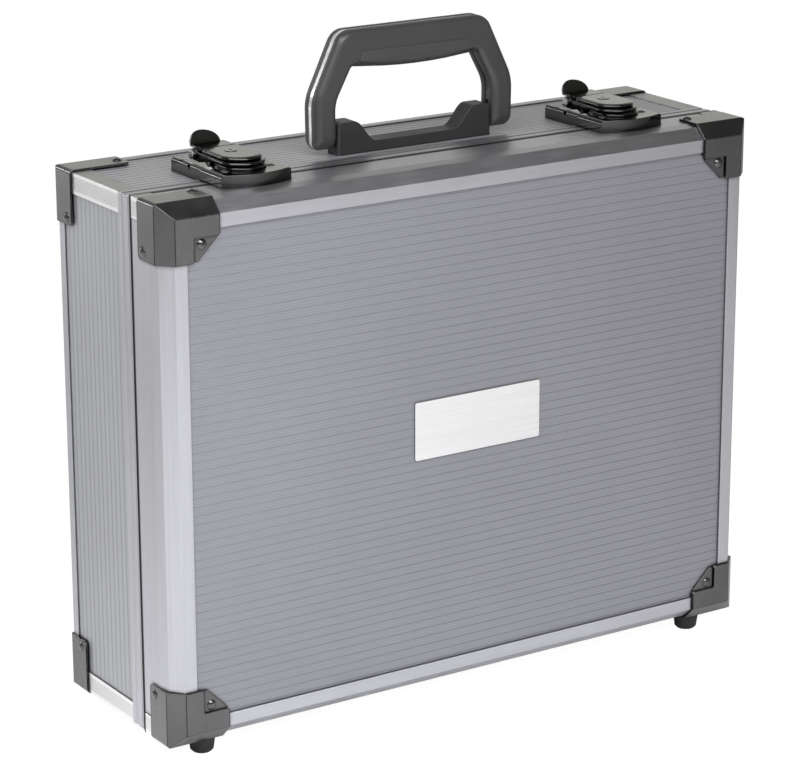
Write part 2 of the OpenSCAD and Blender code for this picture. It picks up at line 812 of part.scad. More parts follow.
// Outline of the base: low between two humps, with an S curve up to each
module handle_base() {
  hump_in = base_half - hump_w;
  low_half = hump_in - hump_slope;
  ease = 3;
  slope = [
    for (i = [0:12])
      [low_half + hump_slope * i / 12, base_low + (hump_h - base_low) * (1 - cos(15 * i)) / 2]
  ];
  top = concat(slope, [[base_half - ease, hump_h], [base_half - 1, hump_h - 1], [base_half, hump_h - ease]]);
  outline = concat(
    [[base_half, -skin], [-base_half, -skin]],
    [for (i = [len(top) - 1:-1:0]) [-top[i][0], top[i][1]]],
    top
  );
  color("#404040") at_handle() difference() {
    intersection() {
      translate([0, base_t / 2, 0]) rotate([90, 0, 0]) linear_extrude(base_t) polygon(outline);
      translate([0, 0, -2]) linear_extrude(hump_h + 4) {
        square([2 * base_half, base_t - 4], center = true);
        square([2 * base_half - 4, base_t], center = true);
        for (x = [-1, 1], y = [-1, 1])
          translate([x * (base_half - 2), y * (base_t / 2 - 2)]) circle(2);
      }
    }
    for (s = [-1, 1])
      translate([s * (base_half - pin_in - fit), 0, handle_pivot_h]) rotate([0, s * 90, 0])
        cylinder(r = handle_pin_r + fit, h = pin_in + 1);
  }
}

module handle_pins() {
  color("silver") at_handle() for (s = [-1, 1])
    translate([s * (base_half - pin_in), 0, handle_pivot_h]) rotate([0, s * 90, 0])
      cylinder(r = handle_pin_r, h = pin_in + base_gap + leg_w - 4);
}

// Latches, each drawn with its origin on the seam at the shell's top and Z as height
base_y0 = catch_back + 0.6;
step_y = rim_d + 0.2;
plate_y1 = bolt_y - 19.5;
hasp_top = hasp_h + 2.3;
key_plate_y1 = bolt_y - 8.5;
strip_h = bolt_h + 3.2;
strip_t = 1.2;
strip_y0 = bolt_y - 5.9;
strip_y1 = bolt_y + 8.7;
cheek_x = strip_half - 3.9;
ear_x = cheek_x - sheet_t - 1.1;
eye_r = 3;
base_half_w = catch_half - 0.5;
base_rivet_x = base_half_w - 8;
base_rivet_y = lever_y + 2;
catch_rivet_x = catch_half - 9;
catch_rivet_y = -4;
catch_rivet_d = 6.2;

module at_latch(s) {
  translate([s * latch_x, y_seam, z_top]) children();
}

// Outline with a straight back edge and a broad round nose toward -Y
function nose(half, back, front, depth) = concat(
  [[half, back], [-half, back]],
  [for (a = [0:7.5:180]) [-half * cos(a), front + depth - depth * sin(a)]]
);

// Outline of the catch plate: square behind, bowed in front
function bowed(half, back, front, bow) = concat(
  [[half, back], [-half, back]],
  [for (i = [-8:8]) [half * i / 8, -front - bow * (1 - (i / 8) ^ 2)]]
);

// A bar along Y with both of its top edges rounded
module soft_bar(half, y0, y1, h0, h1, r) {
  translate([0, y1, 0]) rotate([90, 0, 0]) linear_extrude(y1 - y0) {
    translate([-half, h0]) square([2 * half, h1 - h0 - r]);
    translate([-half + r, h0]) square([2 * (half - r), h1 - h0]);
    for (x = [-1, 1])
      translate([x * (half - r), h1 - r]) circle(r);
  }
}

module catch_plate(s) {
  in = catch_half - sheet_t;
  color("#303030") at_latch(s) difference() {
    union() {
      intersection() {
        linear_extrude(catch_h) polygon(bowed(catch_half, catch_back, catch_front, catch_bow));
        soft_bar(catch_half, -catch_front - catch_bow - 1, catch_back + 1, -1, catch_h, catch_soft);
      }
      translate([0, 0, catch_h - eps]) linear_extrude(boss_h + eps)
        polygon(nose(hasp_half - 0.4, catch_back, -hasp_nose - 2, nose_r - 1));
    }
    difference() {
      translate([0, 0, -1]) linear_extrude(catch_h - sheet_t + 1)
        polygon(bowed(in, catch_back + 1, catch_front - sheet_t, catch_bow));
      for (x = [-catch_rivet_x, catch_rivet_x])
        translate([x, catch_rivet_y, -2]) cylinder(r = 4.5, h = catch_h + 2);
    }
    translate([-catch_half - 1, -seam_gap / 2, -1])
      cube([2 * catch_half + 2, catch_back + 2, catch_lift + 1]);
    for (x = [-catch_rivet_x, catch_rivet_x])
      translate([x, catch_rivet_y, -1]) cylinder(d = shank_d + 2 * fit, h = catch_h + 2);
  }
}

module catch_rivets() {
  color("#404040") for (s = [-1, 1], x = [-catch_rivet_x, catch_rivet_x])
    at_latch(s) translate([x, catch_rivet_y, catch_h]) rivet(catch_rivet_d, 1, catch_h);
}

module latch_base(s) {
  low = -skin;
  color("#303030") at_latch(s) difference() {
    union() {
      translate([-base_half_w, base_y0, fit]) cube([2 * base_half_w, step_y - base_y0 + eps, sheet_t]);
      translate([-base_half_w, step_y, low])
        cube([2 * base_half_w, latch_back - step_y, sheet_t + fit - low]);
      for (x = [-1, 1])
        translate([x * (base_half_w - flange_w / 2), 0, 0])
          soft_bar(flange_w / 2, base_y0, latch_back, fit, flange_h, flange_w / 2 - 0.1);
      for (x = [-ear_x - sheet_t, ear_x])
        translate([x, lever_y, lever_h]) rotate([90, 0, 90]) linear_extrude(sheet_t) {
          circle(eye_r + 0.2);
          translate([-eye_r - 0.2, sheet_t - lever_h]) square([2 * eye_r + 0.4, lever_h - sheet_t]);
        }
    }
    translate([-catch_half, lever_y, lever_h]) rotate([0, 90, 0])
      cylinder(r = lever_pin_r + fit, h = 2 * catch_half);
    translate([-base_half_w - 1, bolt_y, flange_h + 0.4]) rotate([0, 90, 0])
      cylinder(r = 1.3, h = 2 * base_half_w + 2);
    for (x = [-base_rivet_x, base_rivet_x])
      translate([x, base_rivet_y, -2]) cylinder(d = shank_d + 2 * fit, h = 5);
  }
}

module latch_base_rivets() {
  color("#404040") for (s = [-1, 1], x = [-base_rivet_x, base_rivet_x])
    at_latch(s) translate([x, base_rivet_y, sheet_t + fit]) rivet(6, 1.2, sheet_t + fit + skin);
}

module lever_pivot_pins() {
  color("silver") for (s = [-1, 1])
    at_latch(s) translate([-cheek_x - 2, lever_y, lever_h]) rotate([0, 90, 0])
      cylinder(r = lever_pin_r, h = 2 * cheek_x + 4);
}

// Half-moon outline of the finger tab: steep on the left, long on the right
function tab_outline() = let (
  left = -strip_half,
  peak = -4,
  right = 9.5
) concat(
  [[right, 0], [left, 0]],
  [for (i = [0:18]) let (a = i * 10, reach = a < 90 ? peak - left : right - peak)
    [peak - reach * cos(a), 1.2 + tab_h * sin(a)]]
);

module lever(s) {
  reach = norm([bolt_y - lever_y, bolt_h - lever_h]);
  rise = atan2(bolt_h - lever_h, bolt_y - lever_y);
  color("#383838") at_latch(s) difference() {
    union() {
      translate([-strip_half, strip_y0, strip_h]) cube([2 * strip_half, strip_y1 - strip_y0, strip_t]);
      translate([0, strip_y1, strip_h]) rotate([-tab_lean, 0, 0]) rotate([90, 0, 0])
        linear_extrude(strip_t) polygon(tab_outline());
      for (x = [-cheek_x - sheet_t, cheek_x])
        translate([x, 0, 0]) rotate([90, 0, 90]) linear_extrude(sheet_t) {
          translate([lever_y, lever_h]) circle(eye_r);
          translate([bolt_y, bolt_h]) circle(eye_r);
          translate([lever_y, lever_h]) rotate(rise) translate([0, -2.4]) square([reach, 4.8]);
          translate([bolt_y - eye_r, bolt_h]) square([2 * eye_r, strip_h - bolt_h + eps]);
        }
    }
    translate([-catch_half, lever_y, lever_h]) rotate([0, 90, 0])
      cylinder(r = lever_pin_r + run, h = 2 * catch_half);
    translate([-catch_half, bolt_y, bolt_h]) rotate([0, 90, 0])
      cylinder(r = bolt_r + fit, h = 2 * catch_half);
  }
}

module hasp(s) {
  in = hasp_half - sheet_t;
  deep = bolt_h - 4.2;
  wall = [
    [plate_y1 - 8, hasp_h], [base_y0 + 0.2, hasp_h], [bolt_y - 7, deep], [bolt_y, deep + 0.2],
    [bolt_y, hasp_top], [plate_y1 - 8, hasp_top]
  ];
  color("#383838") at_latch(s) difference() {
    union() {
      difference() {
        translate([0, 0, hasp_h]) linear_extrude(hasp_top - hasp_h)
          polygon(nose(hasp_half, plate_y1, -hasp_nose, nose_r));
        translate([0, 0, hasp_h - 1]) linear_extrude(hasp_top - hasp_h - 0.2)
          polygon(nose(in, plate_y1 + 1, -hasp_nose + sheet_t, nose_r - sheet_t));
      }
      for (x = [-hasp_half, in])
        translate([x, 0, 0]) rotate([90, 0, 90]) linear_extrude(sheet_t) {
          polygon(wall);
          translate([bolt_y, bolt_h]) circle(eye_r + 1);
        }
    }
    translate([-catch_half, bolt_y, bolt_h]) rotate([0, 90, 0])
      cylinder(r = bolt_r + run, h = 2 * catch_half);
    translate([0, key_y, 0]) cylinder(r = key_r + run, h = 30);
  }
}

module key_plate(s) {
  h0 = hasp_top + fit;
  front = hasp_nose - 3.5;
  ease = 1;
  color("#484848") at_latch(s) difference() {
    union() {
      hull() {
        translate([0, 0, h0]) linear_extrude(key_plate_t - ease)
          polygon(nose(key_plate_half, key_plate_y1, -front, nose_r - 1));
        translate([0, 0, h0]) linear_extrude(key_plate_t)
          polygon(nose(key_plate_half - ease, key_plate_y1, ease - front, nose_r - 1));
      }
      translate([-key_plate_half - 0.6, key_plate_y1 - 3, h0 + key_plate_t / 2]) rotate([0, 90, 0])
        cylinder(r = 1.3, h = 2);
    }
    translate([0, key_y, 0]) cylinder(r = key_r + run, h = 30);
  }
}

module hasp_bolt(s) {
  head = 2.2;
  gap = 0.2;
  color("lightgray") at_latch(s) translate([0, bolt_y, bolt_h]) rotate([0, 90, 0]) {
    translate([0, 0, -hasp_half - gap]) cylinder(r = bolt_r, h = 2 * (hasp_half + gap));
    translate([0, 0, -hasp_half - gap - head]) cylinder(r = 3.1, h = head);
    translate([0, 0, hasp_half + gap]) cylinder(r = 2.8, h = head / 2);
  }
}

module key_cylinder(s) {
  top = hasp_top + fit + key_plate_t + 0.4;
  low = hasp_top - 2;
  cam_l = 8;
  color("silver") at_latch(s) translate([0, key_y, 0]) difference() {
    union() {
      translate([0, 0, low]) cylinder(r = key_r, h = top - low);
      translate([-1.6, -1, low]) cube([3.2, cam_l + 1, 0.8 - fit]);
    }
    translate([-0.7, -2.6, top - 1.6]) cube([1.4, 5.2, 2]);
  }
}

body_back_panel();
body_panel(2);  // body_top_panel
body_panel(3);  // body_bottom_panel
body_panel(0);  // body_left_panel
body_panel(1);  // body_right_panel
rear_rail(0);  // rear_rail_left
rear_rail(1);  // rear_rail_right
rear_rail(2);  // rear_rail_top
rear_rail(3);  // rear_rail_bottom
rim(0);  // rim_left
rim(1);  // rim_right
rim(2);  // rim_top
rim(3);  // rim_bottom
body_edge_angles();
rear_cap(0);  // rear_cap_upper_left
rear_cap(1);  // rear_cap_upper_right
rear_cap(2);  // rear_cap_lower_left
rear_cap(3);  // rear_cap_lower_right
rear_cap_rivets();
body_feet();
handle_base();
handle_pins();
hinge_body_leaves();
hinge_pins();
latch_base(-1);  // latch_base_left
latch_base(1);  // latch_base_right
latch_base_rivets();
lever_pivot_pins();
lid_rail(0);  // lid_rail_left
lid_rail(1);  // lid_rail_right
lid_rail(2);  // lid_rail_top
lid_rail(3);  // lid_rail_bottom
lid_panel();
name_plate();
lid_cap(0);  // lid_cap_upper_left
lid_cap(1);  // lid_cap_upper_right
lid_cap(2);  // lid_cap_lower_left
lid_cap(3);  // lid_cap_lower_right
lid_cap_rivets();
lid_edge_angles();
lid_feet();
hinge_lid_leaves();
catch_plate(-1);  // catch_plate_left
catch_plate(1);  // catch_plate_right
catch_rivets();
handle_shell(-1);  // handle_shell_front
handle_shell(1);  // handle_shell_back
handle_core();
handle_grip_pad();
lever(-1);  // lever_left
lever(1);  // lever_right
hasp(-1);  // hasp_left
hasp(1);  // hasp_right
key_plate(-1);  // key_plate_left
key_plate(1);  // key_plate_right
hasp_bolt(-1);  // hasp_bolt_left
hasp_bolt(1);  // hasp_bolt_right
key_cylinder(-1);  // key_cylinder_left
key_cylinder(1);  // key_cylinder_right
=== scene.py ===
# %% [markdown]
# # A hard tool case
#
# The object is a carrying case for tools: a fluted sheet shell in mitred aluminium profiles, with
# pressed caps over its corners, a folding handle and two draw latches. The solid model already
# holds every part at its real size. This notebook dresses it: each step says what a finish or a
# small piece is on the real case, how it could be made in Blender, and why this way was chosen.

# %% Load the frame
import json
import math

import bmesh
import bpy
import numpy as np
from mathutils import Euler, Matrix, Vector


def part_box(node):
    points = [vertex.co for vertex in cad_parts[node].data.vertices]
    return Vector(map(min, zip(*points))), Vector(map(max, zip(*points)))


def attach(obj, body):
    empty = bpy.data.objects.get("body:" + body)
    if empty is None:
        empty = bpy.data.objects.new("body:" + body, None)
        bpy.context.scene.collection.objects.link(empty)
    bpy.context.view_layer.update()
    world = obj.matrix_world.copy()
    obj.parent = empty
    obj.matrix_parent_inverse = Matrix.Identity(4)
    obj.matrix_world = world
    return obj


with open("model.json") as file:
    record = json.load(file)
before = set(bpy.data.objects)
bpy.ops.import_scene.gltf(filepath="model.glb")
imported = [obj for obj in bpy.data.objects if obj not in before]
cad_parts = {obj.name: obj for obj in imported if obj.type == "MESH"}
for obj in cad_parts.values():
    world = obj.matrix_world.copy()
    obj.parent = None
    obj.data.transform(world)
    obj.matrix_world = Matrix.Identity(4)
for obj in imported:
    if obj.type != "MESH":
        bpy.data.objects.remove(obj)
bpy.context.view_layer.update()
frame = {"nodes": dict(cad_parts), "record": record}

# %% [markdown]
# ## Units and a few places
#
# The case is drawn in metres with the ground at zero. Sizes that a finish needs, such as the pitch
# of the flutes, are written once in millimetres and multiplied by MM. Places come from the boxes of
# the CAD nodes, so nothing is typed twice, and a finish follows the part if its size changes.

# %% Places read from the nodes
MM = 0.001
FLUTE_PITCH = 5.93 * MM
FINE_LINES = 3


def middle(node):
    """Centre of a node's box."""
    low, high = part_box(node)
    return (low + high) / 2


front_centre = middle("lid_panel")
side_centre = middle("body_left_panel")
shell_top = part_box("lid_rail_top")[1].z
shell_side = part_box("rim_top")[1].x
seam_y = (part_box("lid_rail_top")[1].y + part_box("rim_bottom")[0].y) / 2
print("seam at", round(seam_y, 5), "shell top at", round(shell_top, 5))

# %% [markdown]
# ## The camera
#
# A product photograph is taken from far away with a long lens, so that upright edges stay nearly
# parallel. The camera's place and turn can be found by hand or by fitting the corners of the case.
# Here the fitted values are kept: a turn about the vertical, a tilt down, and a small roll.

# %% Camera
CAMERA_PLACE = Vector((-1.0983, -1.6725, 0.8122))
CAMERA_TURN = math.radians(-33.010)
CAMERA_TILT = math.radians(16.928)
CAMERA_ROLL = math.radians(-0.147)
LENS = 138.03

camera_data = bpy.data.cameras.new("camera")
camera_data.lens = LENS
camera_data.sensor_width = 36.0
camera_data.clip_end = 50.0
camera = bpy.data.objects.new("camera", camera_data)
turn = Euler((0, 0, CAMERA_TURN)).to_matrix()
tilt = Euler((math.pi / 2 - CAMERA_TILT, 0, 0)).to_matrix()
roll_about_view = Euler((0, 0, CAMERA_ROLL)).to_matrix()
camera.matrix_world = (turn @ tilt @ roll_about_view).to_4x4()
camera.location = CAMERA_PLACE
bpy.context.scene.collection.objects.link(camera)
bpy.context.scene.camera = camera
print("camera looks along", [round(v, 3) for v in -(camera.matrix_world.to_3x3().col[2])])

# %% [markdown]
# ## A small kit for node materials
#
# Every finish below is a graph of shader nodes. Placing and wiring each node by hand makes long
# scripts, so this kit wraps the few moves that all finishes need: add a node together with its
# inputs, read the object's coordinates, do arithmetic, mix two colours, and turn a height into a
# bump. Patterns read the object's own coordinates, so they stay in place when a joint moves a part.


# %% Adding one node
def add_node(tree, kind, settings=None, **inputs):
    """Adds a node to a tree. The value of an input is a number, a colour or a socket. Its name is
    the socket's name with _ for a space, or i and a number for the socket's place in the list."""
    made = tree.nodes.new(kind)
    for key, value in (settings or {}).items():
        setattr(made, key, value)
    for key, value in inputs.items():
        by_place = key[0] == "i" and key[1:].isdigit()
        socket = made.inputs[int(key[1:]) if by_place else key.replace("_", " ")]
        if isinstance(value, bpy.types.NodeSocket):
            tree.links.new(value, socket)
        else:
            socket.default_value = value
    return made


def shade(color, factor):
    """The same colour, lighter or darker."""
    return tuple(min(1.0, part * factor) for part in color)


print("half of a mid grey:", shade((0.5, 0.5, 0.5), 0.5))


# %% A finish
class Finish:
    """One procedural material: a Principled shader and helpers that add nodes to its graph."""

    def __init__(self, name, color, metallic=0.0, roughness=0.5):
        self.material = bpy.data.materials.new(name)
        self.material.use_nodes = True
        self.tree = self.material.node_tree
        self.shader = self.tree.nodes["Principled BSDF"]
        self.shader.inputs["Base Color"].default_value = (*color, 1.0)
        self.shader.inputs["Metallic"].default_value = metallic
        self.shader.inputs["Roughness"].default_value = roughness
        self.coords = self.node("ShaderNodeTexCoord").outputs["Object"]

    def node(self, kind, settings=None, **inputs):
        """Adds a node to this material's graph."""
        return add_node(self.tree, kind, settings, **inputs)

    def set(self, name, value):
        """Puts a socket or a value on the shader."""
        socket = self.shader.inputs[name]
        if isinstance(value, bpy.types.NodeSocket):
            self.tree.links.new(value, socket)
        else:
            socket.default_value = value

    def math(self, operation, a, b=0.0):
        """One arithmetic node."""
        return self.node("ShaderNodeMath", {"operation": operation}, i0=a, i1=b).outputs[0]

    def axis(self, name):
        """One object coordinate, in metres."""
        return self.node("ShaderNodeSeparateXYZ", i0=self.coords).outputs[name]

    def noise(self, scale, detail=3.0, stretch=(1, 1, 1)):
        """Noise from 0 to 1; scale is counts per metre, and a stretch under 1 lengthens an axis."""
        place = self.node("ShaderNodeMapping", i0=self.coords, Scale=stretch).outputs[0]
        values = {"Vector": place, "Scale": scale, "Detail": detail, "Roughness": 0.5}
        return self.node("ShaderNodeTexNoise", **values).outputs["Fac"]

    def spread(self, value, low, high, start=0.3, end=0.7):
        """Maps start..end of a value to low..high."""
        made = self.node("ShaderNodeMapRange", i0=value, i1=start, i2=end, i3=low, i4=high)
        return made.outputs[0]

    def mix(self, factor, a, b):
        """Mixes two colours: a where the factor is 0, b where it is 1."""
        a, b = ((*value, 1.0) if isinstance(value, tuple) else value for value in (a, b))
        return self.node("ShaderNodeMix", {"data_type": "RGBA"}, i0=factor, i6=a, i7=b).outputs[2]

    def bump(self, height, distance, strength, **below):
        """Turns a height from 0 to 1 into a bump of that distance in metres. Normal, where it is
        given, is the normal below the bump."""
        values = {"Height": height, "Distance": distance, "Strength": strength, **below}
        return self.node("ShaderNodeBump", **values).outputs[0]


FINISHES = {}
print("moves of a finish:", [name for name in vars(Finish) if name[0] != "_"])

# %% [markdown]
# ## Edges and creases
#
# Two nodes see the shape of the mesh around a point. The bevel node gives the normal that a rounded
# edge would have, so an edge catches light as a pressed one does. Where that normal differs from
# the flat one there is an edge: there a coat wears thin, and along the caps' folds a dark line is
# painted. The ambient occlusion node measures how much nearby geometry shuts a point in, and there
# the colour is darkened as painted shade.
# Rounding the mesh itself would be another way, but it would add faces by the thousand to the CAD
# nodes, which have to stay as they are.

# %% Kit for edges and creases
EDGE_SAMPLES = 8
CREASE_SAMPLES = 6


def soft_edges(finish, radius):
    """A normal that is rounded at the edges of a mesh, for the light that pressed edges catch."""
    return finish.node("ShaderNodeBevel", {"samples": EDGE_SAMPLES}, Radius=radius).outputs[0]


def flat_normal(finish):
    """The mesh's normal before any bump."""
    return finish.node("ShaderNodeNewGeometry").outputs["Normal"]


def own_axis(finish, normal, axis):
    """A normal's part along one of the object's own axes, which stays when a joint moves it."""
    settings = {"vector_type": "NORMAL", "convert_from": "WORLD", "convert_to": "OBJECT"}
    turned_back = finish.node("ShaderNodeVectorTransform", settings, i0=normal).outputs[0]
    return finish.node("ShaderNodeSeparateXYZ", i0=turned_back).outputs[axis]


def rounded_edge_mask(finish, radius, full=0.82):
    """1 where the rounded normal has turned to a cosine of full, 0 on flat faces."""
    flat = flat_normal(finish)
    rounded = soft_edges(finish, radius)
    same = finish.node("ShaderNodeVectorMath", {"operation": "DOT_PRODUCT"}, i0=flat, i1=rounded)
    return finish.spread(same.outputs["Value"], 1.0, 0.0, full, 0.995)


def creases(finish, reach, dark, full=0.97):
    """Painted shade: 1 in the open and down to dark in creases, by how much geometry within reach
    shuts a point in. An opening of full or more counts as open."""
    settings = {"samples": CREASE_SAMPLES}
    opening = finish.node("ShaderNodeAmbientOcclusion", settings, Distance=reach).outputs["AO"]
    return finish.spread(opening, dark, 1.0, 0.45, full)


print("samples for edges and creases:", EDGE_SAMPLES, CREASE_SAMPLES)

# %% [markdown]
# ## Extruded aluminium
#
# The profiles of the lid and the body are extruded, brushed and clear anodised. Extrusion leaves
# faint lines along the length, so the grain is noise drawn out along the profile: a fine one for
# gloss and bump, and a broad one for streaks of tone. A rail runs along X or along Z, and a noise
# that is long in both would blur into a plain field, so two finishes are made and each rail gets
# the one that follows it. The edges at the seam between lid and body are rolled inward, and the
# narrow gap between them lies in shade: a band on both sides of the seam's plane is painted dark
# as that shade, and creases are painted darker as shade too.

# %% Aluminium profiles
PROFILE_COLOR = (0.61, 0.615, 0.66)
# Painted shade: the near black of the seam's gap and of creases, and the widths of the seam's band
# for rails along X and along Z.
PAINTED_SHADE_COLOR = (0.02, 0.02, 0.022)
SEAM_SHADE_BAND = {"X": (1.9 * MM, 2.6 * MM), "Z": (1.3 * MM, 1.8 * MM)}
FINE_GRAIN, BROAD_GRAIN, LENGTHEN = 2600, 420, 0.02


def outside_seam_shade(finish, dark, unshaded):
    """Painted shade of the seam's gap: 0 up to the first distance from the seam's plane, 1 from the
    second distance on.
    """
    distance = finish.math("ABSOLUTE", finish.math("SUBTRACT", finish.axis("Y"), seam_y))
    return finish.spread(distance, 0.0, 1.0, dark, unshaded)


def aluminium(name, along, color=PROFILE_COLOR, rough=0.36, metallic=1.0):
    """Brushed metal with its grain along X or Z, and painted shade near the seam and in creases."""
    made = Finish(name, color, metallic=metallic, roughness=rough)
    stretch = tuple(LENGTHEN if axis == along else 1 for axis in "XYZ")
    grain = made.noise(FINE_GRAIN, 2.0, stretch)
    cloud = made.noise(14)
    fine_gloss = made.spread(grain, rough - 0.05, rough + 0.06)
    made.set("Roughness", made.math("ADD", fine_gloss, made.spread(cloud, -0.02, 0.03)))
    tone = made.mix(made.spread(cloud, 0.0, 1.0), shade(color, 0.95), shade(color, 1.03))
    lines = made.math("MULTIPLY", grain, made.noise(BROAD_GRAIN, 3.0, stretch))
    streaked = made.mix(made.spread(lines, 0.0, 1.0, 0.1, 0.4), shade(color, 0.90), tone)
    edge_mark = made.math("MULTIPLY", rounded_edge_mask(made, 0.3 * MM), 0.25)
    edge_color = made.mix(edge_mark, streaked, shade(color, 1.15))
    # Painted shade: creases and a band along the seam go dark.
    opening = creases(made, 3 * MM, 0.1)
    unshaded = made.math("MULTIPLY", outside_seam_shade(made, *SEAM_SHADE_BAND[along]), opening)
    made.set("Base Color", made.mix(unshaded, PAINTED_SHADE_COLOR, edge_color))
    made.set("Normal", made.bump(grain, 0.006 * MM, 0.5, Normal=soft_edges(made, 0.4 * MM)))
    return made


FINISHES["profile_aluminium"] = {
    "level": aluminium("aluminium level", "X"),
    "upright": aluminium("aluminium upright", "Z"),
}
print("profile finishes:", list(FINISHES["profile_aluminium"]))

# %% [markdown]
# ## Fluted sheet
#
# The panels are thin sheet with a pressed pattern: deeper flutes, which the solid model holds, and
# two finer lines between each pair. The fine lines are too many to be worth geometry, so they are
# worked out from one object coordinate: the coordinate over the pitch, its fraction, and the
# distance of that from the middle. The result gives both a bump and a darker line, which is
# painted shade in the groove. A second set of lines, a whole pitch apart, lies on the real flutes
# and adds painted shade inside them.

# %% Lines at a pitch
LINE_SHIFT = 200.5


def lines_at(finish, along, pitch, narrow, wide, strength=1.0):
    """strength on lines at a pitch, 0 between them. The coordinate over the pitch is shifted by a
    large count, which keeps it positive, and by a half, which puts a line in the middle of each
    fraction. A line is full up to narrow from its middle and gone at wide, parts of the pitch."""
    turns = finish.math("DIVIDE", along, pitch)
    fraction = finish.math("FRACT", finish.math("ADD", turns, LINE_SHIFT))
    offset = finish.math("ABSOLUTE", finish.math("SUBTRACT", fraction, 0.5))
    return finish.spread(offset, strength, 0.0, narrow, wide)


print("flute pitch in mm:", round(FLUTE_PITCH / MM, 2))
print("fine line pitch in mm:", round(FLUTE_PITCH / FINE_LINES / MM, 2))

# %% Fluted sheets
# The front and the other faces are one fluted sheet; the darker colour of the front is painted
# shade.
FRONT_COLOR = (0.342, 0.345, 0.384)
SIDE_COLOR = (0.53, 0.54, 0.57)
SHEET_GRAIN = {"Z": (0.03, 1, 1), "Y": (1, 1, 0.03)}


def fluted(name, axis, centre, color, flute_shade=0.93, fine=0.91, rough=0.46):
    """Sheet with lines across one axis: fine is the painted shade of a fine line, and the argument
    before it the painted shade of a flute.
    """
    made = Finish(name, color, metallic=0.75, roughness=rough)
    along = made.math("SUBTRACT", made.axis(axis), centre)
    groove = lines_at(made, along, FLUTE_PITCH / FINE_LINES, 0.03, 0.16)
    flute = lines_at(made, along, FLUTE_PITCH, 0.06, 0.20, 1.0 - flute_shade)
    grain = made.noise(1800, 2.0, SHEET_GRAIN[axis])
    cloud = made.noise(6, 2.0)
    tone = made.mix(made.spread(cloud, 0.0, 1.0), shade(color, 0.96), shade(color, 1.04))
    # Painted shade: fine lines a little darker, flutes darker, and creases near black.
    lined = made.mix(groove, tone, shade(color, fine))
    lined = made.mix(flute, lined, (0.0, 0.0, 0.0))
    made.set("Base Color", made.mix(creases(made, 3 * MM, 0.25, 0.88), PAINTED_SHADE_COLOR, lined))
    made.set("Roughness", made.spread(grain, rough - 0.06, rough + 0.07))
    height = made.math("SUBTRACT", made.math("MULTIPLY", grain, 0.08), groove)
    made.set("Normal", made.bump(height, 0.10 * MM, 0.4, Normal=soft_edges(made, 0.22 * MM)))
    return made


FINISHES["front_sheet"] = fluted("fluted front sheet", "Z", front_centre.z, FRONT_COLOR)
# The copies for the side, the top and the back differ only in how much shade is painted into the
# flutes: most on the top, less on the sides, little at the back.
FINISHES["side_sheet"] = {
    "upright": fluted("fluted side sheet", "Y", side_centre.y, SIDE_COLOR, flute_shade=0.72),
    "level": fluted("fluted top sheet", "Y", side_centre.y, SIDE_COLOR, flute_shade=0.45),
    "back": fluted("fluted back sheet", "Z", front_centre.z, SIDE_COLOR),
}
print("sheet finishes: front,", ", ".join(FINISHES["side_sheet"]))

# %% [markdown]
# ## Corner caps and latches
#
# The caps are pressed steel under a dark gloss coat, the latches are plated near black, and rivets,
# hinges and pins are plated or bare. All are smooth, so what shows is the light along their rounded
# edges and a slight orange peel. Where pieces lie close, shade is painted into the colour and the
# coat is thinned. Along an upright fold of a cap a dark, dull line is painted, which stands for the
# dark reflection on the fold: the turn of the rounded normal finds the edge, and the normal's
# height tells whether the edge is upright.

# %% Dark metals
# Painted dark, for the shade in creases and for the dark line along a cap's folds.
PAINTED_DARK_COLOR = (0.004, 0.004, 0.004)


def coated(name, color, rough, radius, edge_color, metallic=1.0, coat=1.0, fold=0.0, reach=2.5 * MM):
    """A coat over metal. radius rounds the edges, and the argument after it is the colour along
    them:
    worn metal on most finishes, a painted dark line on the caps. coat is how much clear gloss lies
    over it, fold is how far from an upright edge a painted dark, dull line reaches, and reach is
    how far painted shade from nearby pieces reaches."""
    made = Finish(name, color, metallic=metallic, roughness=rough)
    peel = made.noise(260, 2.0)
    cloud = made.noise(40, 4.0)
    edge_mark = made.math("MULTIPLY", rounded_edge_mask(made, radius), made.spread(cloud, 0.10, 0.80))
    tone = made.mix(made.spread(cloud, 0.0, 1.0), shade(color, 0.92), shade(color, 1.10))
    # Painted shade where pieces lie close; the coat is thinned there too.
    opening = creases(made, reach, 0.12)
    # Painted dark reflection: a dark, dull line along upright folds, with less coat.
    if fold:
        height = made.math("ABSOLUTE", own_axis(made, soft_edges(made, radius), "Z"))
        upright = made.spread(height, 1.0, 0.0, 0.03, 0.12)
        painted_fold_line = made.math("MULTIPLY", rounded_edge_mask(made, fold, 0.97), upright)
        opening = made.math("MULTIPLY", opening, made.math("SUBTRACT", 1.0, painted_fold_line))
    made.set("Base Color", made.mix(opening, PAINTED_DARK_COLOR, made.mix(edge_mark, tone, edge_color)))
    made.set("Roughness", made.spread(cloud, rough - 0.04, rough + 0.06))
    relief = made.bump(peel, 0.012 * MM, 0.35, Normal=soft_edges(made, radius))
    made.set("Normal", relief)
    made.set("Coat Normal", relief)
    made.set("Coat Roughness", 0.07)
    made.set("Coat IOR", 1.45)
    if coat:
        made.set("Coat Weight", made.math("MULTIPLY", opening, coat))
    return made


# On the caps the colour along the edges is darker than the coat: a painted dark line on every edge.
FINISHES["corner_cap"] = coated("corner cap coat", (0.128, 0.128, 0.132), 0.28, 0.7 * MM,
                                (0.10, 0.10, 0.10), coat=0.7, fold=1.2 * MM)
